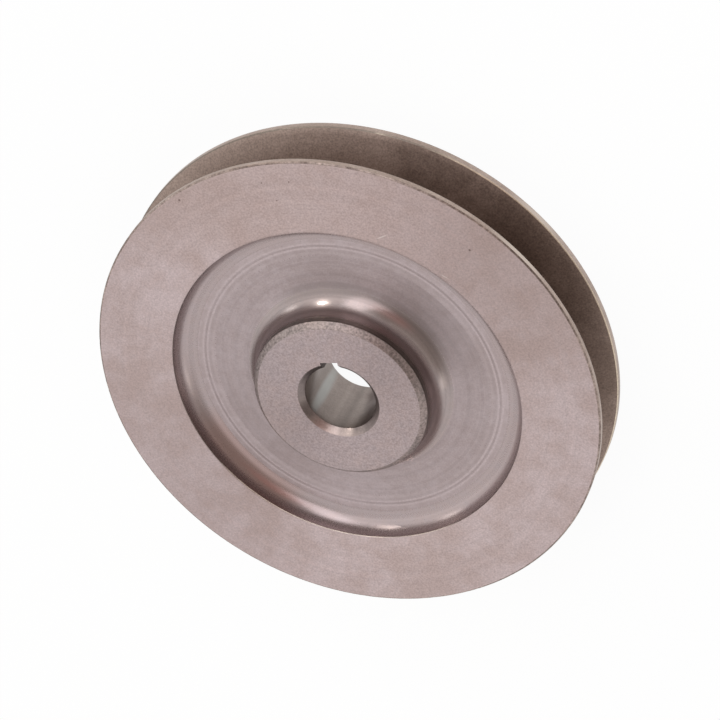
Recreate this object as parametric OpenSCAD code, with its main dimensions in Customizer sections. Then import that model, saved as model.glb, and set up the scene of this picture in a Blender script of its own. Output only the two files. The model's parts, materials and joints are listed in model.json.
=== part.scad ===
// Drive pulley for a single V-belt, turned from one piece of steel.
// It lies on its rear rim face, with the bore along Z and the hub nose upwards.
// The origin is on the bore axis, in the plane of the rear rim face.
// Its section is drawn with the radius along X and the height along Y, then turned about the axis.

/* [Rim] */
// Diameter over the flanges
outer_d = 136; // [124:0.5:180]
// Width of the front flange at its outer diameter
front_land = 1.9; // [1:0.1:4]
// Width of the rear flange at its outer diameter
rear_land = 2.2; // [1:0.1:4]
// Bevel that takes the sharpness off the turned edges
edge_break = 0.3; // [0.1:0.05:0.4]

/* [Belt groove] */
// Width of the groove at its mouth
groove_w = 15.5; // [13:0.1:20]
// Depth of the groove below the outer diameter
groove_depth = 14; // [9:0.1:16]
// Angle between the groove's walls, in degrees
groove_angle = 34; // [30:1:40]
// Radius where the groove's walls meet its floor
groove_fillet = 1.2; // [0.5:0.1:2]

/* [Front dish] */
// Diameter of the dish where it breaks the rim face
dish_d = 94.6; // [84:0.2:98]
// Depth of the flat web below the rim face
dish_depth = 5.4; // [3:0.1:8]
// Radius of the cove between the web and the rim
dish_cove = 5; // [3:0.1:9]

/* [Hub] */
// Diameter of the hub
hub_d = 47; // [38:0.5:56]
// Height of the hub nose above the rim face
hub_proud = 5.2; // [3:0.1:12]
// Bevel around the hub nose
hub_chamfer = 1.5; // [0.5:0.1:3]
// Radius between the hub's wall and the web
hub_fillet = 7; // [2:0.1:9]

/* [Bore and keyway] */
// Diameter of the bore
bore_d = 19.05; // [12:0.05:25.4]
// Bevel at each end of the bore
bore_chamfer = 1.6; // [0.4:0.1:2.5]
// Width of the keyway
key_w = 4.76; // [3:0.02:8]
// Depth of the keyway beyond the bore, on its centre line
key_depth = 2.21; // [1:0.01:4]

/* [Rear recess] */
// Diameter of the recess in the rear face
recess_d = 94.6; // [70:0.2:100]
// Depth of the recess below the rear rim face
recess_depth = 2.8; // [1:0.1:6]
// Radius in the corner of the recess
recess_fillet = 2; // [0.5:0.1:4]

/* [Hidden] */
$fn = 180;

// How far a cut runs past the face that it opens through
past = 2;

outer_r = outer_d / 2;
rim_w = rear_land + groove_w + front_land;

groove_mid = rear_land + groove_w / 2;
groove_floor_r = outer_r - groove_depth;
groove_lean = tan(groove_angle / 2);
// Distance from the floor's corner to each end of the fillet there
groove_corner = groove_fillet / tan(45 + groove_angle / 4);

web_top = rim_w - dish_depth;
dish_r = dish_d / 2;
// A cove with a larger radius than the dish's depth is cut short by the rim face
cove_rise = min(dish_cove, dish_depth);
cove_r = dish_r - sqrt(pow(dish_cove, 2) - pow(dish_cove - cove_rise, 2));

hub_r = hub_d / 2;
hub_top = rim_w + hub_proud;
// The fillet ends where the bevel of the hub nose begins
hub_fillet_fit = min(hub_fillet, dish_depth + hub_proud - hub_chamfer);

bore_r = bore_d / 2;
recess_r = recess_d / 2;
// The fillet ends where the bevel of the recess begins
recess_fillet_fit = min(recess_fillet, recess_depth - edge_break);

// Half of the groove's width at a depth below the outer diameter
function groove_half(depth) = groove_w / 2 - depth * groove_lean;

// The blank, as high as the hub, with the rear flange's bevel
module blank_section() {
    polygon([
        [0, 0],
        [outer_r - edge_break, 0],
        [outer_r, edge_break],
        [outer_r, hub_top],
        [0, hub_top]
    ]);
}

// What is turned away at the front: the rim face, the dish and the outside of the hub
module front_cut_section() {
    polygon([
        [hub_r - hub_chamfer - past, hub_top + past],
        [hub_r, hub_top - hub_chamfer],
        [hub_r, web_top + hub_fillet_fit],
        [hub_r + hub_fillet_fit, web_top],
        [cove_r, web_top],
        [dish_r, web_top + cove_rise],
        [dish_r, rim_w],
        [outer_r - edge_break, rim_w],
        [outer_r + past, rim_w - edge_break - past],
        [outer_r + past, hub_top + past]
    ]);
    translate([hub_r + hub_fillet_fit, web_top + hub_fillet_fit])
        circle(r = hub_fillet_fit);
    translate([cove_r, web_top + dish_cove])
        circle(r = dish_cove);
}

// Half of the belt groove, from its middle to one wall
module groove_half_section() {
    floor_half = groove_half(groove_depth);
    polygon([
        [outer_r + past, -past],
        [groove_floor_r, -past],
        [groove_floor_r, floor_half - groove_corner],
        [
            groove_floor_r + groove_corner * cos(groove_angle / 2),
            floor_half + groove_corner * sin(groove_angle / 2)
        ],
        [outer_r - edge_break, groove_half(edge_break)],
        [outer_r + past, groove_w / 2 + edge_break + past * (1 + groove_lean)]
    ]);
    translate([groove_floor_r + groove_fillet, floor_half - groove_corner])
        circle(r = groove_fillet);
}

// The belt groove, the same on both sides of its middle
module groove_section() {
    translate([0, groove_mid]) {
        groove_half_section();
        mirror([0, 1]) groove_half_section();
    }
}

// The shallow recess that leaves the rear rim face standing
module recess_section() {
    polygon([
        [0, -past],
        [recess_r + edge_break + past, -past],
        [recess_r, edge_break],
        [recess_r, recess_depth - recess_fillet_fit],
        [recess_r - recess_fillet_fit, recess_depth],
        [0, recess_depth]
    ]);
    translate([recess_r - recess_fillet_fit, recess_depth - recess_fillet_fit])
        circle(r = recess_fillet_fit);
}

// The bore, with its bevel at the rear face of the hub and at the hub nose
module bore_section() {
    polygon([
        [0, recess_depth - past],
        [bore_r + bore_chamfer + past, recess_depth - past],
        [bore_r, recess_depth + bore_chamfer],
        [bore_r, hub_top - bore_chamfer],
        [bore_r + bore_chamfer + past, hub_top + past],
        [0, hub_top + past]
    ]);
}

// The whole section of the pulley, on one side of the axis
module pulley_section() {
    difference() {
        blank_section();
        front_cut_section();
        groove_section();
        recess_section();
        bore_section();
    }
}

// The keyway's cutter, from the axis to the keyway's floor and through the whole hub
module keyway_cut() {
    translate([-key_w / 2, 0, recess_depth - past])
        cube([key_w, bore_r + key_depth, hub_top - recess_depth + 2 * past]);
}

// The pulley, with its keyway towards +Y
module drive_pulley() {
    color([0.70, 0.64, 0.63])
        difference() {
            rotate_extrude() pulley_section();
            keyway_cut();
        }
}

drive_pulley();
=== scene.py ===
"""Looks of the turned drive pulley: its mesh, its steel finishes, the light, the floor and the camera."""

import json
import logging
import math
from collections.abc import Iterable
from dataclasses import dataclass
from enum import Enum
from typing import Any

import bmesh
import bpy
from bmesh.types import BMesh, BMEdge, BMFace, BMVert
from bpy.types import Material, Node, NodeSocket, NodeTree, Object
from mathutils import Matrix, Quaternion, Vector, noise


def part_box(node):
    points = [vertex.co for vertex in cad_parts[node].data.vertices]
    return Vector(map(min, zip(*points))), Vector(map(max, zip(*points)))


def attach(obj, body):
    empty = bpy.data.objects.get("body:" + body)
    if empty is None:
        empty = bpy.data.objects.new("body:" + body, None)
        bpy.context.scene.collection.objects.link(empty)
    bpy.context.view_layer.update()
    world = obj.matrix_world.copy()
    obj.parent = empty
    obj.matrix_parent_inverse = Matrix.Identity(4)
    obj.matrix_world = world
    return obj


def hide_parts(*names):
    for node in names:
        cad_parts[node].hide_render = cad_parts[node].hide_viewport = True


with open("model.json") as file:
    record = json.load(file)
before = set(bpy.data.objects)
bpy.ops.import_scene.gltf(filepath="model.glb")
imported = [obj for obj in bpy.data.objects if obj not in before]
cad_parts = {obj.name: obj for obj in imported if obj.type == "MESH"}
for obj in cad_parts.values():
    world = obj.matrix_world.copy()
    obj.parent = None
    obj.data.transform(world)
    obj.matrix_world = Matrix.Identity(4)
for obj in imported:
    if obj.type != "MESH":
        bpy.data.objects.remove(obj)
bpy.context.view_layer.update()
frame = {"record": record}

LOG = logging.getLogger("drive_pulley")

NODE = "drive_pulley"
BODY = "root"

MM = 0.001
TINY = 0.002 * MM
FULL_TURN = 2.0 * math.pi
QUARTER = 0.25
SECTORS = 8

# Finer layers of each noise pattern, and their strength.
RING_GRAIN = (1.0, 0.5)
SPECKLE_GRAIN = (2.0, 0.6)
CLOUD_GRAIN = (3.0, 0.55)
MOTTLE_GRAIN = (4.0, 0.65)
TORN_GRAIN = (6.0, 0.65)
LINE_GRAIN = (3.0, 0.6)
STREAK_GRAIN = (3.0, 0.55)

# Where the noise patterns start to show and show in full.
TINT_RANGE = (0.25, 0.75)
ROUGHNESS_RANGE = (0.3, 0.7)
BLOOM_RANGE = (0.36, 0.64)
PAINTED_LIGHT_RANGE = (0.9, 1.2)

# Share of a mark's or the painted shade's reach that is its even core, and how far a mark covers the steel.
MARK_CORE = 0.3
PIT_COVER = 0.75
SCRATCH_AND_HIGHLIGHT_COVER = 0.7
PAINTED_SHADE_CORE = 0.4

Point = tuple[float, float]
Span = tuple[float, float]
Colour = tuple[float, float, float]
Direction = tuple[float, float, float]
Feed = NodeSocket | float | tuple[float, ...]


class Zone(Enum):
    """The faces of the pulley that were cut in one way and have one finish."""

    RIM_FACE = "rim_face"
    EDGE = "edge"
    LAND = "land"
    MOUTH_EDGE = "mouth_edge"
    GROOVE = "groove"
    DISH_EDGE = "dish_edge"
    COVE = "cove"
    OUTER_WEB = "outer_web"
    TOOL_RING = "tool_ring"
    WEB = "web"
    FILLET = "fillet"
    HUB_WALL = "hub_wall"
    HUB_BEVEL = "hub_bevel"
    HUB_FACE = "hub_face"
    BORE_BEVEL = "bore_bevel"
    BORE = "bore"
    KEYWAY = "keyway"
    REAR = "rear"

    @property
    def index(self) -> int:
        """Place of the zone's finish among the piece's material slots."""
        return list(Zone).index(self)


class NodeBoard:
    """Adds shader nodes to one node tree and links them."""

    def __init__(self, tree: NodeTree) -> None:
        """Start on an emptied tree.

        Args:
            tree: The node tree of a material or of the world.
        """
        self.tree = tree
        tree.nodes.clear()

    def add(self, kind: str, **settings: Any) -> Node:
        """Add a node.

        Args:
            kind: Blender's name of the node type.
            settings: Attributes to set on the node.

        Returns:
            The new node.
        """
        node = self.tree.nodes.new(kind)
        for name, value in settings.items():
            setattr(node, name, value)
        return node

    def feed(self, target: NodeSocket, source: Feed) -> None:
        """Link a socket to an input, or set the input's own value.

        Args:
            target: The input socket.
            source: A socket to link, or a plain value.
        """
        if isinstance(source, NodeSocket):
            self.tree.links.new(source, target)
        else:
            target.default_value = source

    def maths(self, operation: str, first: Feed, second: Feed = 0.0, clamp: bool = False) -> NodeSocket:
        """Work out a number from one or two others.

        Args:
            operation: Name of the Math node's operation.
            first: First number.
            second: Second number, where the operation has one.
            clamp: Whether the result is kept between 0 and 1.

        Returns:
            The result's socket.
        """
        node = self.add("ShaderNodeMath", operation=operation, use_clamp=clamp)
        self.feed(node.inputs[0], first)
        self.feed(node.inputs[1], second)
        return node.outputs[0]

    def mean(self, first: Feed, second: Feed) -> NodeSocket:
        """Mean of two numbers."""
        return self.maths("MULTIPLY", self.maths("ADD", first, second), 0.5)

    def measure(self, operation: str, first: Feed, second: Feed) -> NodeSocket:
        """Work out a number from two vectors.

        Args:
            operation: Name of the Vector Math node's operation.
            first: First vector.
            second: Second vector.

        Returns:
            The result's socket.
        """
        node = self.add("ShaderNodeVectorMath", operation=operation)
        self.feed(node.inputs[0], first)
        self.feed(node.inputs[1], second)
        return node.outputs["Value"]

    def dot(self, first: Feed, second: Feed) -> NodeSocket:
        """Dot product of two vectors."""
        return self.measure("DOT_PRODUCT", first, second)

    def distance(self, first: Feed, second: Feed) -> NodeSocket:
        """Distance between two points."""
        return self.measure("DISTANCE", first, second)

    def joined(self, first: Feed, second: Feed) -> NodeSocket:
        """Join two numbers into a flat vector.

        Args:
            first: The vector's first number.
            second: Its second number.

        Returns:
            The vector's socket.
        """
        node = self.add("ShaderNodeCombineXYZ")
        self.feed(node.inputs[0], first)
        self.feed(node.inputs[1], second)
        return node.outputs[0]

    def ranged(self, value: Feed, start: float, end: float, low: float = 0.0, high: float = 1.0,
               soft: bool = True) -> NodeSocket:
        """Carry a number from one range to another, held at both ends.

        Args:
            value: The number.
            start: Where the first range starts; the result is low there.
            end: Where the first range ends; the result is high there.
            low: Result at the start.
            high: Result at the end.
            soft: Whether the ends are eased.

        Returns:
            The result's socket.
        """
        node = self.add("ShaderNodeMapRange", interpolation_type="SMOOTHSTEP" if soft else "LINEAR")
        for name, given in zip(("Value", "From Min", "From Max", "To Min", "To Max"),
                               (value, start, end, low, high)):
            self.feed(node.inputs[name], given)
        return node.outputs[0]

    def grain(self, place: Feed, scale: float, detail: float = 2.0, roughness: float = 0.5,
              flat: bool = False) -> NodeSocket:
        """Soft noise between 0 and 1.

        Args:
            place: Coordinates that the noise follows, in metres.
            scale: Features in a metre.
            detail: Number of finer layers.
            roughness: Strength of the finer layers.
            flat: Whether only the first two coordinates count.

        Returns:
            The noise's socket.
        """
        node = self.add("ShaderNodeTexNoise", noise_dimensions="2D" if flat else "3D")
        self.feed(node.inputs["Vector"], place)
        node.inputs["Scale"].default_value = scale
        node.inputs["Detail"].default_value = detail
        node.inputs["Roughness"].default_value = roughness
        return node.outputs[0]

    def moved(self, place: Feed, centre: tuple[float, ...], turn: float,
              stretch: tuple[float, ...]) -> NodeSocket:
        """Centre, turn and stretch a pattern's coordinates.

        Args:
            place: The coordinates.
            centre: Point that becomes the pattern's origin.
            turn: Angle of the pattern about Z, in radians.
            stretch: Size of the pattern along each of its axes.

        Returns:
            The new coordinates' socket.
        """
        node = self.add("ShaderNodeMapping", vector_type="TEXTURE")
        self.feed(node.inputs["Vector"], place)
        node.inputs["Location"].default_value = centre
        node.inputs["Rotation"].default_value = (0.0, 0.0, turn)
        node.inputs["Scale"].default_value = stretch
        return node.outputs[0]

    def blend(self, factor: Feed, first: Feed, second: Feed, kind: str = "MIX") -> NodeSocket:
        """Blend two colours.

        Args:
            factor: Share of the second colour.
            first: First colour.
            second: Second colour.
            kind: Name of the Mix node's blend type.

        Returns:
            The blended colour's socket.
        """
        node = self.add("ShaderNodeMix", data_type="RGBA", blend_type=kind)
        colours = [socket for socket in node.inputs if socket.type == "RGBA"]
        self.feed(node.inputs["Factor"], factor)
        for socket, given in zip(colours, (first, second)):
            self.feed(socket, (*given, 1.0) if isinstance(given, tuple) else given)
        return next(socket for socket in node.outputs if socket.type == "RGBA")

    def bump(self, height: NodeSocket, depth: float, below: NodeSocket | None = None) -> NodeSocket:
        """Raise a surface by a height pattern.

        Args:
            height: The pattern, between 0 and 1.
            depth: Its full height in metres.
            below: Normal that the pattern is laid on.

        Returns:
            The raised normal's socket.
        """
        node = self.add("ShaderNodeBump")
        node.inputs["Strength"].default_value = 1.0
        node.inputs["Distance"].default_value = depth
        self.feed(node.inputs["Height"], height)
        if below is not None:
            self.feed(node.inputs["Normal"], below)
        return node.outputs[0]


class TurnedPlace:
    """Coordinates of a turned piece: place, radius, height, and the ways out from and round its axis."""

    def __init__(self, board: NodeBoard) -> None:
        """Read the piece's Object coordinates.

        Args:
            board: The board of the piece's material.
        """
        self.place = board.add("ShaderNodeTexCoord").outputs["Object"]
        split = board.add("ShaderNodeSeparateXYZ")
        board.feed(split.inputs[0], self.place)
        across, along, self.height = split.outputs
        squares = [board.maths("MULTIPLY", part, part) for part in (across, along)]
        self.radius = board.maths("SQRT", board.maths("ADD", *squares))
        self.section = board.joined(self.radius, self.height)
        self.direction = board.joined(*(board.maths("DIVIDE", part, self.radius) for part in (across, along)))
        self.around = board.joined(board.maths("MULTIPLY", along, -1.0), across)


@dataclass(frozen=True)
class TurnedSteel:
    """Bare steel as a lathe tool leaves it: fine rings, speckle, and a brown bloom in mottles and clouds.

    Lengths are in metres, and scales are features in a metre; the streaks' is in a radius.
    """

    name: str
    colour: Colour
    bloom: Colour
    bloom_share: float = 0.5
    cloud_scale: float = 45.0
    mottle_scale: float = 420.0
    roughness: float = 0.4
    roughness_spread: float = 0.06
    lay: float = 0.5
    ring_scale: float = 1300.0
    ring_depth: float = 0.012 * MM
    ring_tint: float = 0.05
    speckle_scale: float = 2200.0
    speckle_depth: float = 0.012 * MM
    speckle_tint: float = 0.12
    line_scale: float = 350.0
    line_tint: float = 0.0
    streak_scale: float = 1.6
    streak_tint: float = 0.0

    def make(self) -> Material:
        """Build the finish's material.

        Returns:
            The new material.
        """
        material = bpy.data.materials.new(self.name)
        material.use_nodes = True
        board = NodeBoard(material.node_tree)
        turned = TurnedPlace(board)
        rings = board.grain(turned.section, self.ring_scale, *RING_GRAIN, flat=True)
        speckle = board.grain(turned.place, self.speckle_scale, *SPECKLE_GRAIN)
        shader = board.add("ShaderNodeBsdfPrincipled")
        shader.inputs["Metallic"].default_value = 1.0
        shader.inputs["Anisotropic"].default_value = self.lay
        shader.inputs["Anisotropic Rotation"].default_value = QUARTER
        board.feed(shader.inputs["Tangent"], turned.around)
        colour = self.tinted(board, turned, self.bloomed(board, turned), rings, speckle)
        board.feed(shader.inputs["Base Color"], self.marked(board, turned, colour))
        low, high = self.roughness - self.roughness_spread, self.roughness + self.roughness_spread
        uneven = board.ranged(board.mean(rings, speckle), *ROUGHNESS_RANGE, low, high, soft=False)
        board.feed(shader.inputs["Roughness"], uneven)
        raised = board.bump(speckle, self.speckle_depth, board.bump(rings, self.ring_depth))
        board.feed(shader.inputs["Normal"], raised)
        output = board.add("ShaderNodeOutputMaterial")
        board.feed(output.inputs["Surface"], shader.outputs[0])
        return material

    def bloomed(self, board: NodeBoard, turned: TurnedPlace) -> NodeSocket:
        """Steel colour with the brown bloom on it.

        Args:
            board: The material's board.
            turned: The piece's coordinates.

        Returns:
            The colour's socket.
        """
        cloud = board.grain(turned.place, self.cloud_scale, *CLOUD_GRAIN)
        mottle = board.grain(turned.place, self.mottle_scale, *MOTTLE_GRAIN)
        share = board.ranged(board.mean(cloud, mottle), *BLOOM_RANGE, 0.0, self.bloom_share)
        return board.blend(share, self.colour, self.bloom)

    def tinted(self, board: NodeBoard, turned: TurnedPlace, colour: NodeSocket, rings: NodeSocket,
               speckle: NodeSocket) -> NodeSocket:
        """Colour made uneven by the rings, the speckle, broad tool lines and streaks along the axis.

        Args:
            board: The material's board.
            turned: The piece's coordinates.
            colour: Colour to vary.
            rings: The ring pattern.
            speckle: The speckle pattern.

        Returns:
            The uneven colour's socket.
        """
        level = board.maths("MULTIPLY", self.swing(board, rings, self.ring_tint),
                            self.swing(board, speckle, self.speckle_tint))
        if self.line_tint:
            lines = board.grain(turned.section, self.line_scale, *LINE_GRAIN, flat=True)
            level = board.maths("MULTIPLY", level, self.swing(board, lines, self.line_tint))
        if self.streak_tint:
            streaks = board.grain(turned.direction, self.streak_scale, *STREAK_GRAIN)
            level = board.maths("MULTIPLY", level, self.swing(board, streaks, self.streak_tint))
        return board.blend(1.0, colour, level, "MULTIPLY")

    @staticmethod
    def swing(board: NodeBoard, pattern: NodeSocket, share: float) -> NodeSocket:
        """Turn a pattern into a factor that swings about 1 by a share."""
        return board.ranged(pattern, *TINT_RANGE, 1.0 - share, 1.0 + share, soft=False)

    def marked(self, board: NodeBoard, turned: TurnedPlace, colour: NodeSocket) -> NodeSocket:
        """Colour with marks of use; a plain finish has none."""
        return colour


@dataclass(frozen=True)
class Mark:
    """A mark on a turned face, placed by its radius in metres and its angle in degrees."""

    radius: float
    angle: float

    @property
    def place(self) -> Point:
        """The X and Y of the mark's middle."""
        turn = math.radians(self.angle)
        return self.radius * math.cos(turn), self.radius * math.sin(turn)


@dataclass(frozen=True)
class Pit(Mark):
    """A small dark pit."""

    size: float


@dataclass(frozen=True)
class ScratchAndHighlight(Mark):
    """A bright streak that leans by an angle in degrees: a scratch on the rim face, a painted highlight on the
    lands and in the bore.
    """

    lean: float
    length: float
    width: float


@dataclass(frozen=True)
class MarkedSteelWithPaintedLight(TurnedSteel):
    """Turned steel with pits, scratches and painted highlights, and with painted light on one side.

    The painted light has the bloom's colour: painted shade where that is darker than the steel, a painted
    highlight where it is paler; the marks lie round the face's height.
    """

    face_height: float = 0.0
    painted_light_angle: float = 112.0
    painted_light_share: float = 0.4
    painted_light_sharpness: float = 14.0
    pits: tuple[Pit, ...] = ()
    scratches_and_highlights: tuple[ScratchAndHighlight, ...] = ()
    pit_colour: Colour = (0.09, 0.06, 0.05)
    scratch_and_highlight_colour: Colour = (0.66, 0.58, 0.55)

    def bloomed(self, board: NodeBoard, turned: TurnedPlace) -> NodeSocket:
        """Steel colour with the clouds, and with painted light in the bloom's colour on one side.

        Args:
            board: The material's board.
            turned: The piece's coordinates.

        Returns:
            The colour's socket.
        """
        clouds = super().bloomed(board, turned)
        # Painted light: the bloom's colour is laid on the side that faces the angle.
        lean = math.radians(self.painted_light_angle)
        towards = board.dot(turned.place, (math.cos(lean), math.sin(lean), 0.0))
        torn = board.grain(turned.place, self.cloud_scale, *TORN_GRAIN)
        edge = board.maths("ADD", board.maths("MULTIPLY", towards, self.painted_light_sharpness), torn)
        share = board.ranged(edge, *PAINTED_LIGHT_RANGE, 0.0, self.painted_light_share)
        return board.blend(share, clouds, self.bloom)

    def marked(self, board: NodeBoard, turned: TurnedPlace, colour: NodeSocket) -> NodeSocket:
        """Colour with the pits, scratches and painted highlights laid on it.

        Args:
            board: The material's board.
            turned: The piece's coordinates.
            colour: Colour under the marks.

        Returns:
            The marked colour's socket.
        """
        for pit in self.pits:
            away = board.distance(turned.place, (*pit.place, self.face_height))
            cover = board.ranged(away, pit.size * MARK_CORE, pit.size, PIT_COVER, 0.0)
            colour = board.blend(cover, colour, self.pit_colour)
        # Scratches and painted highlights: paler streaks laid on the colour.
        for scratch_and_highlight in self.scratches_and_highlights:
            local = board.moved(turned.place, (*scratch_and_highlight.place, self.face_height), math.radians(scratch_and_highlight.lean),
                                (scratch_and_highlight.length, scratch_and_highlight.width, scratch_and_highlight.length))
            away = board.distance(local, (0.0, 0.0, 0.0))
            cover = board.ranged(away, MARK_CORE, 1.0, SCRATCH_AND_HIGHLIGHT_COVER, 0.0)
            colour = board.blend(cover, colour, self.scratch_and_highlight_colour)
        return colour


@dataclass(frozen=True)
class RingShadedSteel(TurnedSteel):
    """Turned steel with painted shade laid in a soft ring, on one side of the axis."""

    # By default the painted shade lies round the foot of the hub's fillet, on the side towards 65°.
    painted_shade: Colour = (0.2, 0.165, 0.16)
    painted_shade_share: float = 0.5
    painted_shade_ring: Point = (27.9 * MM, 14.7 * MM)
    painted_shade_reach: float = 2.6 * MM
    painted_shade_angle: float = 65.0
    painted_shade_spread: Span = (0.45, 0.85)

    def marked(self, board: NodeBoard, turned: TurnedPlace, colour: NodeSocket) -> NodeSocket:
        """Colour with the painted shade laid on it.

        Args:
            board: The material's board.
            turned: The piece's coordinates.
            colour: Colour under the painted shade.

        Returns:
            The shaded colour's socket.
        """
        # Painted shade: darker towards the angle, most near the ring.
        lean = math.radians(self.painted_shade_angle)
        towards = board.dot(turned.direction, (math.cos(lean), math.sin(lean), 0.0))
        side = board.ranged(towards, *self.painted_shade_spread, 0.0, self.painted_shade_share)
        away = board.distance(turned.section, (*self.painted_shade_ring, 0.0))
        ring = board.ranged(away, self.painted_shade_reach * PAINTED_SHADE_CORE, self.painted_shade_reach, 1.0, 0.0)
        return board.blend(board.maths("MULTIPLY", side, ring), colour, self.painted_shade)


class Lathe:
    """Draws the strokes of a section and turns each about the pulley's axis."""

    def __init__(self, start: Point, steps: int) -> None:
        """Set the tool at its first point.

        Args:
            start: Radius and height of the first point.
            steps: Steps of a full turn.
        """
        self.tip = Vector((start[0], 0.0, start[1]))
        self.steps = steps
        self.zone: Zone | None = None
        self.wire = bmesh.new()
        self.work = bmesh.new()

    def line(self, zone: Zone, end: Point, parts: int = 1) -> None:
        """Draw a straight stroke from the tip.

        Args:
            zone: Zone of the turned faces.
            end: Radius and height where the stroke ends.
            parts: Number of equal steps in the stroke.
        """
        vert = self.start(zone)
        step = (Vector((end[0], 0.0, end[1])) - self.tip) / parts
        for _ in range(parts):
            vert = bmesh.ops.extrude_vert_indiv(self.wire, verts=[vert])["verts"][0]
            bmesh.ops.translate(self.wire, verts=[vert], vec=step)
        self.tip = vert.co.copy()

    def arc(self, zone: Zone, centre: Point, sweep: float, parts: int) -> None:
        """Draw a round stroke from the tip.

        Args:
            zone: Zone of the turned faces.
            centre: Radius and height of the arc's centre.
            sweep: Angle of the arc in radians, positive from outwards to upwards.
            parts: Number of equal steps in the arc.
        """
        vert = self.start(zone)
        last = bmesh.ops.spin(self.wire, geom=[vert], cent=(centre[0], 0.0, centre[1]), axis=(0.0, -1.0, 0.0),
                              angle=sweep, steps=parts)["geom_last"]
        self.tip = next(item for item in last if isinstance(item, BMVert)).co.copy()

    def start(self, zone: Zone) -> BMVert:
        """Put a stroke's first vertex at the tip, after turning the last zone's strokes.

        Args:
            zone: Zone of the stroke.

        Returns:
            The first vertex.
        """
        if zone is not self.zone:
            self.turn()
            self.zone = zone
        return bmesh.ops.create_vert(self.wire, co=self.tip)["vert"][0]

    def turn(self) -> None:
        """Spin the drawn strokes through one sector, copy that round, and add the faces to the work."""
        if self.zone is None:
            return
        wire = self.wire
        bmesh.ops.remove_doubles(wire, verts=wire.verts, dist=TINY)
        bmesh.ops.spin(wire, geom=[*wire.verts, *wire.edges], cent=(0.0, 0.0, 0.0), axis=(0.0, 0.0, 1.0),
                       angle=FULL_TURN / SECTORS, steps=self.steps // SECTORS)
        sectors = 1
        while sectors < SECTORS:
            whole = [*wire.verts, *wire.edges, *wire.faces]
            copied = bmesh.ops.duplicate(wire, geom=whole)["geom"]
            verts = [item for item in copied if isinstance(item, BMVert)]
            bmesh.ops.rotate(wire, verts=verts, cent=(0.0, 0.0, 0.0),
                             matrix=Matrix.Rotation(FULL_TURN * sectors / SECTORS, 3, "Z"))
            sectors *= 2
        index = self.zone.index
        for face in wire.faces:
            face.material_index = index
        mesh = bpy.data.meshes.new("strokes")
        wire.to_mesh(mesh)
        wire.clear()
        self.work.from_mesh(mesh)
        bpy.data.meshes.remove(mesh)

    def done(self) -> BMesh:
        """Join the turned strokes into one closed shell with its faces outwards.

        Returns:
            The shell.
        """
        self.turn()
        self.wire.free()
        bmesh.ops.remove_doubles(self.work, verts=self.work.verts, dist=TINY)
        bmesh.ops.recalc_face_normals(self.work, faces=self.work.faces)
        return self.work


@dataclass(frozen=True)
class ToolLine:
    """A fine line that the tool left in the web, with a bright ring on each side of it."""

    radius: float
    width: float
    depth: float
    ring: float


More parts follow.
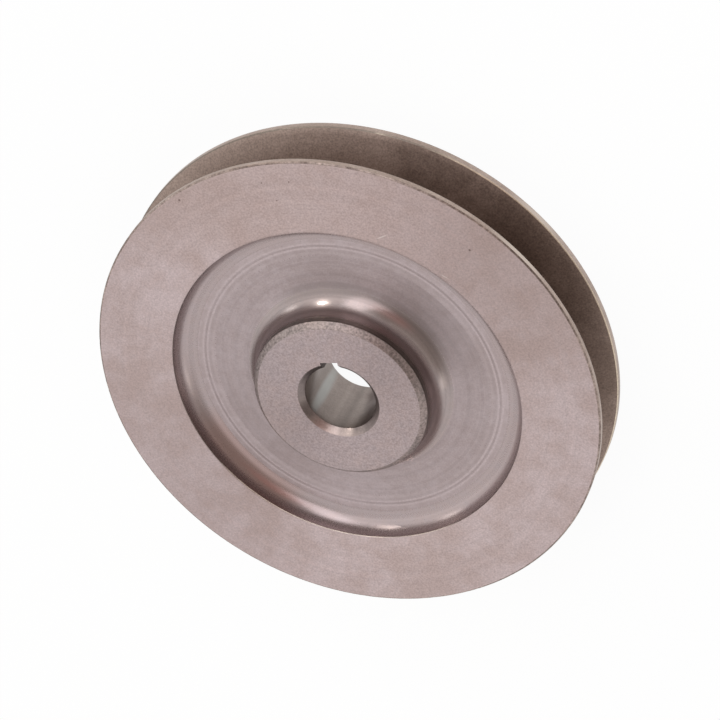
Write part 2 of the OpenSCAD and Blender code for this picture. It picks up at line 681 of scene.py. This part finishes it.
@dataclass
class DrivePulley:
    """The whole pulley, turned from one piece of steel. Lengths are in metres."""

    outer_r: float
    hub_top: float
    bore_r: float
    front_land: float = 1.9 * MM
    rear_land: float = 2.2 * MM
    edge_break: float = 0.3 * MM
    groove_w: float = 15.5 * MM
    groove_depth: float = 14.0 * MM
    groove_angle: float = 34.0
    groove_fillet: float = 1.2 * MM
    dish_r: float = 47.3 * MM
    dish_depth: float = 5.4 * MM
    dish_cove: float = 5.0 * MM
    hub_r: float = 23.5 * MM
    hub_bevel: float = 1.5 * MM
    hub_fillet: float = 7.0 * MM
    bore_bevel: float = 1.6 * MM
    key_w: float = 4.76 * MM
    key_depth: float = 2.21 * MM
    recess_r: float = 47.3 * MM
    recess_depth: float = 2.8 * MM
    recess_fillet: float = 2.0 * MM
    corner_round: float = 0.16 * MM
    mouth_break: float = 0.25 * MM
    dish_break: float = 0.22 * MM
    # Width of rim face next to the edge break that takes the edge's painted shade.
    edge_shade_width: float = 0.15 * MM
    guard: float = 0.6 * MM
    dent_depth: float = 0.16 * MM
    dent_pitch: float = 1.3 * MM
    dent_inwards: float = 0.75 * MM
    dent_lean: float = 0.7
    dent_noise: tuple[float, float, int] = (0.8, 2.1, 3)
    knock_angle: float = 98.0
    knock_reach: float = 45.0
    knock_least: float = 0.25
    turn_steps: int = 560
    cove_steps: int = 24
    foot_steps: int = 6
    fillet_steps: int = 18
    recess_steps: int = 6
    groove_steps: int = 4
    corner_steps: int = 3
    normal_weight: int = 50
    inner_web_r: float = 37.3 * MM
    fillet_foot: float = math.radians(22.0)
    tool_line: ToolLine = ToolLine(40.25 * MM, 0.6 * MM, 0.05 * MM, 0.55 * MM)

    @property
    def rim_w(self) -> float:
        """Height of the rim face above the rear rim face."""
        return self.rear_land + self.groove_w + self.front_land

    @property
    def web_top(self) -> float:
        """Height of the flat web."""
        return self.rim_w - self.dish_depth

    @property
    def key_roof(self) -> float:
        """Distance of the keyway's floor from the axis."""
        return self.bore_r + self.key_depth

    def build(self) -> Object:
        """Make the pulley's mesh and dress it.

        Returns:
            The finished object.
        """
        lathe = Lathe((self.outer_r, self.rim_w - self.edge_break), self.turn_steps)
        self.turn_front(lathe)
        self.turn_bore(lathe)
        self.turn_rear(lathe)
        self.turn_groove(lathe)
        work = lathe.done()
        self.round_corners(work)
        self.cut_keyway(work)
        self.dent_front_edge(work)
        return self.dressed(work)

    def turn_front(self, lathe: Lathe) -> None:
        """Turn the front edge, the rim face, the dish and the hub's outside.

        Args:
            lathe: The lathe, with its tip on the front flange's land.
        """
        rim, web = self.rim_w, self.web_top
        edge_r = self.outer_r - self.edge_break
        lathe.line(Zone.EDGE, (edge_r, rim), 2)
        # The edge finish, with its painted shade, reaches onto the rim face by this width.
        lathe.line(Zone.EDGE, (edge_r - self.edge_shade_width, rim))
        lathe.line(Zone.RIM_FACE, (edge_r - self.guard, rim), 2)
        lathe.line(Zone.RIM_FACE, (self.dish_r + self.guard, rim), 6)
        lathe.line(Zone.RIM_FACE, (self.dish_r + self.dish_break / 2, rim))
        lathe.line(Zone.DISH_EDGE, (self.dish_r, rim - self.dish_break), 2)
        lathe.line(Zone.COVE, (self.dish_r, web + self.dish_cove))
        cove = (self.dish_r - self.dish_cove, web + self.dish_cove)
        lathe.arc(Zone.COVE, cove, -math.pi / 2, self.cove_steps)
        mark = self.tool_line
        lathe.line(Zone.OUTER_WEB, (mark.radius + mark.width / 2 + mark.ring, web), 2)
        lathe.line(Zone.TOOL_RING, (mark.radius + mark.width / 2, web))
        lathe.line(Zone.WEB, (mark.radius, web - mark.depth))
        lathe.line(Zone.WEB, (mark.radius - mark.width / 2, web))
        lathe.line(Zone.TOOL_RING, (mark.radius - mark.width / 2 - mark.ring, web))
        lathe.line(Zone.OUTER_WEB, (self.inner_web_r, web), 2)
        fillet = (self.hub_r + self.hub_fillet, web + self.hub_fillet)
        lathe.line(Zone.WEB, (fillet[0], web), 4)
        lathe.arc(Zone.WEB, fillet, -self.fillet_foot, self.foot_steps)
        lathe.arc(Zone.FILLET, fillet, self.fillet_foot - math.pi / 2, self.fillet_steps)
        lathe.line(Zone.HUB_WALL, (self.hub_r, self.hub_top - self.hub_bevel), 4)
        lathe.line(Zone.HUB_BEVEL, (self.hub_r - self.hub_bevel, self.hub_top), 3)
        lathe.line(Zone.HUB_FACE, (self.bore_r + self.bore_bevel, self.hub_top), 5)

    def turn_bore(self, lathe: Lathe) -> None:
        """Turn the bore with the bevels at its ends.

        Args:
            lathe: The lathe, with its tip at the inner edge of the hub face.
        """
        lathe.line(Zone.BORE_BEVEL, (self.bore_r, self.hub_top - self.bore_bevel), 3)
        lathe.line(Zone.BORE, (self.bore_r, self.recess_depth + self.bore_bevel), 8)
        lathe.line(Zone.BORE_BEVEL, (self.bore_r + self.bore_bevel, self.recess_depth), 2)

    def turn_rear(self, lathe: Lathe) -> None:
        """Turn the recess and the rear rim face.

        Args:
            lathe: The lathe, with its tip at the rear end of the bore.
        """
        corner = (self.recess_r - self.recess_fillet, self.recess_depth - self.recess_fillet)
        lathe.line(Zone.REAR, (corner[0], self.recess_depth), 5)
        lathe.arc(Zone.REAR, corner, -math.pi / 2, self.recess_steps)
        lathe.line(Zone.REAR, (self.recess_r, self.edge_break))
        lathe.line(Zone.REAR, (self.recess_r + self.edge_break, 0.0))
        lathe.line(Zone.REAR, (self.outer_r - self.edge_break, 0.0), 5)
        lathe.line(Zone.EDGE, (self.outer_r, self.edge_break))

    def turn_groove(self, lathe: Lathe) -> None:
        """Turn the rear land, the belt groove and the front land.

        Args:
            lathe: The lathe, with its tip on the rear flange's outer edge.
        """
        lean = math.radians(self.groove_angle / 2)
        middle = self.rear_land + self.groove_w / 2
        floor_r = self.outer_r - self.groove_depth
        floor_half = self.groove_w / 2 - self.groove_depth * math.tan(lean)
        mouth_r = self.outer_r - self.mouth_break
        mouth_half = self.groove_w / 2 - self.mouth_break * math.tan(lean)
        reach = self.groove_fillet / math.tan(math.pi / 4 + lean / 2)
        wall_r, wall_half = floor_r + reach * math.cos(lean), floor_half + reach * math.sin(lean)
        round_r, round_half = floor_r + self.groove_fillet, floor_half - reach
        sweep = math.pi / 2 - lean
        lathe.line(Zone.LAND, (self.outer_r, self.rear_land - self.mouth_break), 3)
        lathe.line(Zone.MOUTH_EDGE, (mouth_r, middle - mouth_half))
        lathe.line(Zone.GROOVE, (wall_r, middle - wall_half), 8)
        lathe.arc(Zone.GROOVE, (round_r, middle - round_half), -sweep, self.groove_steps)
        lathe.line(Zone.GROOVE, (floor_r, middle + round_half), 2)
        lathe.arc(Zone.GROOVE, (round_r, middle + round_half), -sweep, self.groove_steps)
        lathe.line(Zone.GROOVE, (mouth_r, middle + mouth_half), 8)
        lathe.line(Zone.MOUTH_EDGE, (self.outer_r, self.rim_w - self.front_land + self.mouth_break))
        lathe.line(Zone.LAND, (self.outer_r, self.rim_w - self.edge_break), 3)

    def round_corners(self, work: BMesh) -> None:
        """Take the sharpness off the turned corners.

        Args:
            work: The pulley's mesh.
        """
        top, rear, bevel = self.hub_top, self.recess_depth, self.bore_bevel
        corners = (
            (self.hub_r, top - self.hub_bevel),
            (self.hub_r - self.hub_bevel, top),
            (self.bore_r + bevel, top),
            (self.bore_r, top - bevel),
            (self.bore_r, rear + bevel),
            (self.bore_r + bevel, rear),
        )
        edges = [edge for corner in corners for edge in self.ring(work, corner)]
        bmesh.ops.bevel(work, geom=edges, offset=self.corner_round, offset_type="OFFSET", affect="EDGES",
                        segments=self.corner_steps, profile=0.5, material=-1)

    @staticmethod
    def ring(work: BMesh, corner: Point) -> list[BMEdge]:
        """Find the edges of the ring at a corner of the section.

        Args:
            work: The pulley's mesh.
            corner: Radius and height of the corner.

        Returns:
            The ring's edges.
        """
        def on(vert: BMVert) -> bool:
            """Whether a vertex lies on the ring."""
            return abs(vert.co.z - corner[1]) < TINY and abs(vert.co.xy.length - corner[0]) < TINY

        return [edge for edge in work.edges if on(edge.verts[0]) and on(edge.verts[1])]

    def cut_keyway(self, work: BMesh) -> None:
        """Cut the keyway through the hub, towards +Y.

        Args:
            work: The pulley's mesh.
        """
        half, roof = self.key_w / 2, self.key_roof
        across, outwards = (1, 0, 0), (0, 1, 0)
        for plane, normal in (((half, 0, 0), across), ((-half, 0, 0), across), ((0, roof, 0), outwards)):
            near = self.near_keyway(work)
            edges = {edge for face in near for edge in face.edges}
            verts = {vert for face in near for vert in face.verts}
            bmesh.ops.bisect_plane(work, geom=[*near, *edges, *verts], dist=TINY / 10, plane_co=plane,
                                   plane_no=normal)
        inside = [face for face in self.near_keyway(work)
                  if abs(face.calc_center_median().x) < half and face.calc_center_median().y < roof]
        bmesh.ops.delete(work, geom=inside, context="FACES")
        self.wall_keyway(work)

    def near_keyway(self, work: BMesh) -> list[BMFace]:
        """Find the faces of the hub's ends and of the bore that reach the keyway.

        Args:
            work: The pulley's mesh.

        Returns:
            The faces.
        """
        reach = self.key_roof + self.corner_round * 4
        return [face for face in work.faces
                if any(vert.co.y > 0 and abs(vert.co.x) < self.key_w and vert.co.xy.length < reach
                       for vert in face.verts)]

    def wall_keyway(self, work: BMesh) -> None:
        """Close the cut keyway with its two walls and its floor.

        Args:
            work: The pulley's mesh, open along the keyway's outline.
        """
        half, roof = self.key_w / 2, self.key_roof
        rim = [edge for edge in work.edges if edge.is_boundary]
        corners: dict[tuple[float, float], BMVert] = {}
        for side in (-half, half):
            for end in (self.hub_top, self.recess_depth):
                aim = Vector((side, roof, end))
                corners[side, end] = min((vert for edge in rim for vert in edge.verts),
                                         key=lambda vert: (vert.co - aim).length)
        posts = [work.edges.new((corners[side, self.hub_top], corners[side, self.recess_depth]))
                 for side in (-half, half)]
        walls = [[edge for edge in rim if all(abs(vert.co.x - side) < TINY for vert in edge.verts)]
                 for side in (-half, half)]
        ends = [edge for edge in rim if all(abs(vert.co.y - roof) < TINY for vert in edge.verts)]
        for loop in ([*walls[0], posts[0]], [*walls[1], posts[1]], [*ends, *posts]):
            bmesh.ops.edgeloop_fill(work, edges=loop, mat_nr=Zone.KEYWAY.index)
        bmesh.ops.recalc_face_normals(work, faces=work.faces)
        for edge in [*rim, *posts]:
            edge.smooth = False

    def dent_front_edge(self, work: BMesh) -> None:
        """Nick the front outer edge, most along the side that was knocked.

        Args:
            work: The pulley's mesh.
        """
        inner_r, lowest = self.outer_r - self.dent_inwards, self.rim_w - self.edge_break - TINY
        for vert in work.verts:
            if vert.co.xy.length < inner_r or vert.co.z < lowest:
                continue
            angle = math.degrees(math.atan2(vert.co.y, vert.co.x))
            near = max(0.0, 1.0 - abs(angle - self.knock_angle) / self.knock_reach)
            knocked = self.knock_least + (1.0 - self.knock_least) * near
            rough = noise.fractal(vert.co / self.dent_pitch, *self.dent_noise)
            depth = self.dent_depth * knocked * min(1.0, max(0.0, rough))
            out = Vector((vert.co.x, vert.co.y, 0.0)).normalized()
            vert.co -= (out + Vector((0.0, 0.0, 1.0))) * depth * self.dent_lean

    def dressed(self, work: BMesh) -> Object:
        """Turn the mesh into a smooth-shaded object with its finishes.

        Args:
            work: The pulley's mesh; it is freed.

        Returns:
            The object.
        """
        for face in work.faces:
            face.smooth = True
        mesh = bpy.data.meshes.new("pulley_body")
        work.to_mesh(mesh)
        work.free()
        finishes = self.finishes()
        for zone in Zone:
            mesh.materials.append(finishes[zone].make())
        piece = bpy.data.objects.new("pulley_body", mesh)
        bpy.context.scene.collection.objects.link(piece)
        weighted = piece.modifiers.new("even_shading", "WEIGHTED_NORMAL")
        weighted.keep_sharp = True
        weighted.weight = self.normal_weight
        return piece

    def finishes(self) -> dict[Zone, TurnedSteel]:
        """List the finish of each zone.

        Returns:
            The finishes.
        """
        bloom = (0.40, 0.30, 0.275)
        keyway_shade = (0.12, 0.085, 0.07)
        web_bloom = (0.34, 0.27, 0.262)
        return {
            # Rim face: the darker, browner side towards 75° is painted shade; the pits and scratches are real
            # marks.
            Zone.RIM_FACE: MarkedSteelWithPaintedLight(
                "matte_rim_steel", (0.515, 0.42, 0.417), bloom, bloom_share=0.65, roughness=0.44, lay=0.75,
                mottle_scale=170.0, speckle_scale=2000.0, speckle_tint=0.2, face_height=self.rim_w,
                painted_light_angle=75.0, painted_light_share=0.45, painted_light_sharpness=18.0,
                pits=(
                    Pit(59.8 * MM, 44.2, 0.45 * MM),
                    Pit(65.9 * MM, 118.9, 0.42 * MM),
                    Pit(62.3 * MM, 90.6, 0.3 * MM),
                    Pit(62.7 * MM, 97.4, 0.3 * MM),
                    Pit(57.2 * MM, 95.2, 0.28 * MM),
                ),
                scratches_and_highlights=(
                    ScratchAndHighlight(50.2 * MM, 66.0, 20.0, 2.2 * MM, 0.22 * MM),
                    ScratchAndHighlight(48.6 * MM, 44.5, -35.0, 1.4 * MM, 0.22 * MM),
                )),
            # Edge breaks: the dark steel is painted shade along the edges; its paler mottles are random tone.
            Zone.EDGE: TurnedSteel(
                "shaded_worn_edge_steel", (0.18, 0.135, 0.118), (0.42, 0.335, 0.3), bloom_share=0.85, roughness=0.4,
                mottle_scale=500.0, speckle_scale=1300.0, speckle_tint=0.45),
            # Lands: the darker side towards 95° is painted shade, and the broad pale patch near 36° is a
            # painted highlight.
            Zone.LAND: MarkedSteelWithPaintedLight(
                "land_steel", (0.495, 0.398, 0.347), (0.36, 0.275, 0.233), bloom_share=0.9, roughness=0.4,
                speckle_scale=2000.0, speckle_tint=0.2, mottle_scale=160.0, painted_light_angle=95.0, painted_light_share=0.5,
                painted_light_sharpness=10.5, face_height=10.0 * MM, scratch_and_highlight_colour=(0.66, 0.57, 0.5),
                scratches_and_highlights=(ScratchAndHighlight(self.outer_r, 36.0, 36.0, 24.0 * MM, 12.0 * MM),)),
            # Groove mouths: the pale steel is a painted highlight, turned fully dark as painted shade on the
            # side towards 115°.
            Zone.MOUTH_EDGE: MarkedSteelWithPaintedLight(
                "painted_light_edge_steel", (0.66, 0.55, 0.44), (0.2, 0.165, 0.14), bloom_share=0.15, roughness=0.38,
                mottle_scale=300.0, speckle_tint=0.2, painted_light_angle=115.0, painted_light_share=1.0),
            # Groove: the darker side towards 25° is painted shade.
            Zone.GROOVE: MarkedSteelWithPaintedLight(
                "groove_steel", (0.345, 0.265, 0.228), (0.15, 0.105, 0.085), bloom_share=0.25, roughness=0.5,
                lay=0.2, ring_tint=0.02, speckle_scale=2000.0, speckle_tint=0.3, painted_light_angle=25.0,
                painted_light_share=0.6, painted_light_sharpness=10.5),
            # Dish edge: the dark steel is painted shade along the edge, and the pale side towards 245° is a
            # painted highlight.
            Zone.DISH_EDGE: MarkedSteelWithPaintedLight(
                "dish_edge_steel", (0.14, 0.105, 0.095), (0.8, 0.7, 0.62), bloom_share=0.0, roughness=0.5,
                painted_light_angle=245.0, painted_light_share=1.0),
            # Cove: the reddish-dark band towards 216° is painted shade.
            Zone.COVE: RingShadedSteel(
                "smooth_cove_steel", (0.385, 0.32, 0.32), bloom, bloom_share=0.3, roughness=0.28,
                roughness_spread=0.03, lay=0.5, ring_depth=0.003 * MM, ring_tint=0.07, line_tint=0.06,
                speckle_tint=0.06, speckle_depth=0.001 * MM, painted_shade=(0.38, 0.25, 0.225), painted_shade_share=0.6,
                painted_shade_ring=(45.0 * MM, 15.0 * MM), painted_shade_reach=4.5 * MM, painted_shade_angle=216.0,
                painted_shade_spread=(0.9, 0.985)),
            Zone.OUTER_WEB: TurnedSteel(
                "fine_web_steel", (0.447, 0.371, 0.374), web_bloom, bloom_share=0.65, roughness=0.33, lay=0.5,
                ring_tint=0.07, line_tint=0.09, speckle_tint=0.08, speckle_depth=0.005 * MM),
            Zone.TOOL_RING: TurnedSteel(
                "tool_ring_steel", (0.455, 0.38, 0.385), bloom, bloom_share=0.2, roughness=0.33, lay=0.5,
                ring_tint=0.05, speckle_tint=0.15),
            # Web: its painted shade darkens the foot of the hub's fillet towards 65°.
            Zone.WEB: RingShadedSteel(
                "satin_web_steel", (0.432, 0.359, 0.363), web_bloom, bloom_share=0.65, roughness=0.37, lay=0.9,
                ring_tint=0.08, line_tint=0.06, speckle_tint=0.12, speckle_depth=0.005 * MM),
            # Fillet: the same painted shade darkens its low part towards 65°.
            Zone.FILLET: RingShadedSteel(
                "fillet_steel", (0.345, 0.292, 0.286), bloom, bloom_share=0.3, roughness=0.25,
                roughness_spread=0.02, lay=0.5, ring_depth=0.003 * MM, ring_tint=0.07, line_tint=0.07,
                speckle_tint=0.06, speckle_depth=0.001 * MM),
            # Hub wall: its very dark steel is painted shade; the streaks are turning marks.
            Zone.HUB_WALL: TurnedSteel(
                "hub_wall_steel", (0.172, 0.152, 0.14), bloom, bloom_share=0.3, roughness=0.32, lay=0.6,
                ring_tint=0.3, line_scale=1000.0, line_tint=0.4),
            Zone.HUB_BEVEL: TurnedSteel(
                "rough_bevel_steel", (0.275, 0.23, 0.22), bloom, bloom_share=0.35, roughness=0.45, lay=0.2,
                speckle_depth=0.05 * MM, speckle_scale=1500.0, speckle_tint=0.5, mottle_scale=160.0),
            Zone.HUB_FACE: TurnedSteel(
                "hub_face_steel", (0.385, 0.315, 0.315), bloom, bloom_share=0.4, roughness=0.45, lay=0.7,
                ring_tint=0.03, speckle_scale=2000.0, speckle_tint=0.26),
            # Bore bevel: darkened steel, partly painted shade, with a painted highlight on the side towards
            # 254°.
            Zone.BORE_BEVEL: MarkedSteelWithPaintedLight(
                "bore_bevel_steel", (0.205, 0.168, 0.16), (0.5, 0.4, 0.37), bloom_share=0.1, roughness=0.33,
                streak_tint=0.2, painted_light_angle=254.0, painted_light_share=0.8, painted_light_sharpness=70.0),
            # Bore: the dark side towards 334° is painted shade, and the pale streak at 205° is a painted
            # reflection.
            Zone.BORE: MarkedSteelWithPaintedLight(
                "bore_steel", (0.335, 0.285, 0.26), (0.13, 0.092, 0.082), bloom_share=0.2, roughness=0.36,
                streak_tint=0.3, painted_light_angle=334.0, painted_light_share=0.95, painted_light_sharpness=100.0,
                face_height=13.8 * MM, scratch_and_highlight_colour=(0.44, 0.445, 0.43),
                scratches_and_highlights=(ScratchAndHighlight(self.bore_r, 205.0, 205.0, 16.0 * MM, 2.2 * MM),)),
            # Keyway: its dark steel and darker bloom are painted shade in the slot.
            Zone.KEYWAY: TurnedSteel(
                "keyway_steel", (0.17, 0.138, 0.128), keyway_shade, bloom_share=0.4, roughness=0.5, lay=0.0),
            Zone.REAR: TurnedSteel(
                "rear_steel", (0.46, 0.375, 0.37), bloom, bloom_share=0.5, roughness=0.43, lay=0.6,
                speckle_scale=2000.0, speckle_tint=0.2),
        }


@dataclass(frozen=True)
class Lamp:
    """A soft rectangular lamp that points at the pulley. Lengths are in metres, the turn in degrees."""

    name: str
    towards: Direction
    width: float
    height: float
    power: float
    colour: Colour = (1.0, 1.0, 1.0)
    turn: float = 0.0
    distance: float = 1.4


@dataclass
class Studio:
    """The floor, the soft light and the camera. Lengths are in metres."""

    floor_flat: float = 2.0
    floor_sweep: float = 22.0
    floor_turn: float = 15.0
    floor_drop: float = 0.1 * MM
    floor_rise_steps: int = 12
    floor_steps: int = 96
    floor_paper: float = 0.9
    floor_white: float = 0.94
    sky_bright: Colour = (1.06, 1.06, 1.06)
    dark_towards: Direction = (0.72, 0.262, 0.643)
    dark_spread: Span = (0.5, 0.88)
    sky_dark: Colour = (0.44, 0.395, 0.365)
    warm_towards: Direction = (0.448, 0.497, 0.743)
    warm_spread: Span = (0.94, 0.985)
    sky_warm: Colour = (0.58, 0.385, 0.35)
    camera_place: tuple[float, float, float] = (329.45 * MM, 449.32 * MM, 676.45 * MM)
    camera_aim: tuple[float, float, float] = (6.307 * MM, 9.154 * MM, 19.57 * MM)
    camera_roll: float = -150.571
    camera_lens: float = 167.3
    camera_sensor: float = 36.0
    camera_clip: Span = (0.01, 100.0)
    lamps: tuple[Lamp, ...] = (
        Lamp("lamp_tall", (0.098, 0.758, 0.645), 0.55, 1.5, 3.6, (0.97, 0.97, 1.0), turn=10.0),
        Lamp("lamp_spot", (-0.453, 0.852, 0.262), 0.09, 0.13, 2.0, (1.0, 0.98, 0.91)),
        Lamp("lamp_side", (-0.609, 0.426, 0.669), 1.8, 1.2, 0.9, (0.97, 1.0, 0.94)),
        Lamp("lamp_low", (-0.853, 0.492, 0.174), 0.25, 0.3, 0.5, (0.97, 1.0, 0.96)),
        Lamp("lamp_far", (0.742, -0.52, 0.423), 0.25, 0.5, 0.3, (1.0, 1.0, 0.92)),
        Lamp("lamp_strip", (0.908, 0.243, 0.342), 1.8, 0.17, 0.45, (1.0, 0.98, 0.92)),
    )

    def build(self) -> None:
        """Make the floor, the sky, the lamps and the camera."""
        self.make_floor()
        self.make_sky()
        for lamp in self.lamps:
            self.hang(lamp)
        self.make_camera()

    def make_floor(self) -> None:
        """Lay a wide pale floor just under the pulley, swept up gently far away."""
        work = bmesh.new()
        middle = bmesh.ops.create_vert(work, co=(0.0, 0.0, -self.floor_drop))["vert"][0]
        edge = bmesh.ops.extrude_vert_indiv(work, verts=[middle])["verts"][0]
        bmesh.ops.translate(work, verts=[edge], vec=(self.floor_flat, 0.0, 0.0))
        bmesh.ops.spin(work, geom=[edge], cent=(self.floor_flat, 0.0, self.floor_sweep - self.floor_drop),
                       axis=(0.0, -1.0, 0.0), angle=math.radians(self.floor_turn),
                       steps=self.floor_rise_steps)
        bmesh.ops.spin(work, geom=[*work.verts, *work.edges], cent=(0.0, 0.0, 0.0), axis=(0.0, 0.0, 1.0),
                       angle=FULL_TURN, steps=self.floor_steps, use_merge=True)
        bmesh.ops.remove_doubles(work, verts=work.verts, dist=TINY)
        bmesh.ops.recalc_face_normals(work, faces=work.faces)
        for face in work.faces:
            face.smooth = True
            if face.normal.z < 0.0:
                face.normal_flip()
        mesh = bpy.data.meshes.new("floor")
        work.to_mesh(mesh)
        work.free()
        mesh.materials.append(self.floor_finish())
        floor = bpy.data.objects.new("floor", mesh)
        bpy.context.scene.collection.objects.link(floor)

    def floor_finish(self) -> Material:
        """Make white paper that looks evenly lit to the eye and in reflections, and keeps a soft shadow.

        Returns:
            The material.
        """
        material = bpy.data.materials.new("white_floor")
        material.use_nodes = True
        board = NodeBoard(material.node_tree)
        path = board.add("ShaderNodeLightPath")
        seen = board.maths("MAXIMUM", path.outputs["Is Camera Ray"], path.outputs["Is Glossy Ray"])
        seen = board.maths("MAXIMUM", seen, path.outputs["Is Transmission Ray"])
        paper = board.add("ShaderNodeBsdfDiffuse")
        paper.inputs["Color"].default_value = (*[self.floor_paper] * 3, 1.0)
        glow = board.add("ShaderNodeEmission")
        glow.inputs["Strength"].default_value = 1.0
        mix = board.add("ShaderNodeMixShader")
        board.feed(mix.inputs[0], board.maths("MULTIPLY", seen, self.floor_white))
        board.feed(mix.inputs[1], paper.outputs[0])
        board.feed(mix.inputs[2], glow.outputs[0])
        output = board.add("ShaderNodeOutputMaterial")
        board.feed(output.inputs["Surface"], mix.outputs[0])
        return material

    def make_sky(self) -> None:
        """Surround the scene with soft light that is dark on one side, with a warm patch there."""
        world = bpy.data.worlds.new("studio")
        world.use_nodes = True
        bpy.context.scene.world = world
        board = NodeBoard(world.node_tree)
        towards = board.add("ShaderNodeTexCoord").outputs["Generated"]
        dark = board.ranged(board.dot(towards, self.dark_towards), *self.dark_spread)
        colour = board.blend(dark, self.sky_bright, self.sky_dark)
        warm = board.ranged(board.dot(towards, self.warm_towards), *self.warm_spread)
        background = board.add("ShaderNodeBackground")
        board.feed(background.inputs["Color"], board.blend(warm, colour, self.sky_warm))
        output = board.add("ShaderNodeOutputWorld")
        board.feed(output.inputs["Surface"], background.outputs[0])

    def hang(self, lamp: Lamp) -> None:
        """Put up a lamp.

        Args:
            lamp: The lamp.
        """
        light = bpy.data.lights.new(lamp.name, "AREA")
        light.shape = "RECTANGLE"
        light.size, light.size_y = lamp.width, lamp.height
        light.energy = lamp.power
        light.color = lamp.colour
        holder = bpy.data.objects.new(lamp.name, light)
        towards = Vector(lamp.towards).normalized()
        facing = towards.to_track_quat("Z", "Y")
        turn = Quaternion((0.0, 0.0, 1.0), math.radians(lamp.turn))
        turned = (facing @ turn).to_matrix().to_4x4()
        holder.matrix_world = Matrix.Translation(towards * lamp.distance) @ turned
        bpy.context.scene.collection.objects.link(holder)

    def make_camera(self) -> None:
        """Set the camera where the photo was taken from."""
        data = bpy.data.cameras.new("camera")
        data.sensor_width = self.camera_sensor
        data.lens = self.camera_lens
        data.clip_start, data.clip_end = self.camera_clip
        camera = bpy.data.objects.new("camera", data)
        place, aim = Vector(self.camera_place), Vector(self.camera_aim)
        facing = (aim - place).to_track_quat("-Z", "Y")
        roll = Quaternion((0.0, 0.0, 1.0), math.radians(self.camera_roll))
        camera.matrix_world = Matrix.Translation(place) @ (facing @ roll).to_matrix().to_4x4()
        bpy.context.scene.collection.objects.link(camera)
        bpy.context.scene.camera = camera


def main() -> None:
    """Build the pulley and the studio round it, and report each piece."""
    logging.basicConfig(level=logging.INFO, format="%(name)s: %(message)s")
    bpy.context.scene.view_settings.view_transform = "Standard"
    low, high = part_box(NODE)
    bore = next(mount for mount in frame["record"]["mounts"] if mount["name"] == "bore")
    pulley = DrivePulley(outer_r=high.x, hub_top=high.z, bore_r=bore["dims"]["r_mm"] * MM).build()
    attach(pulley, BODY)
    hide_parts(NODE)
    LOG.info("%s: %d faces", pulley.name, len(pulley.data.polygons))
    Studio().build()


if __name__ == "__main__":
    main()
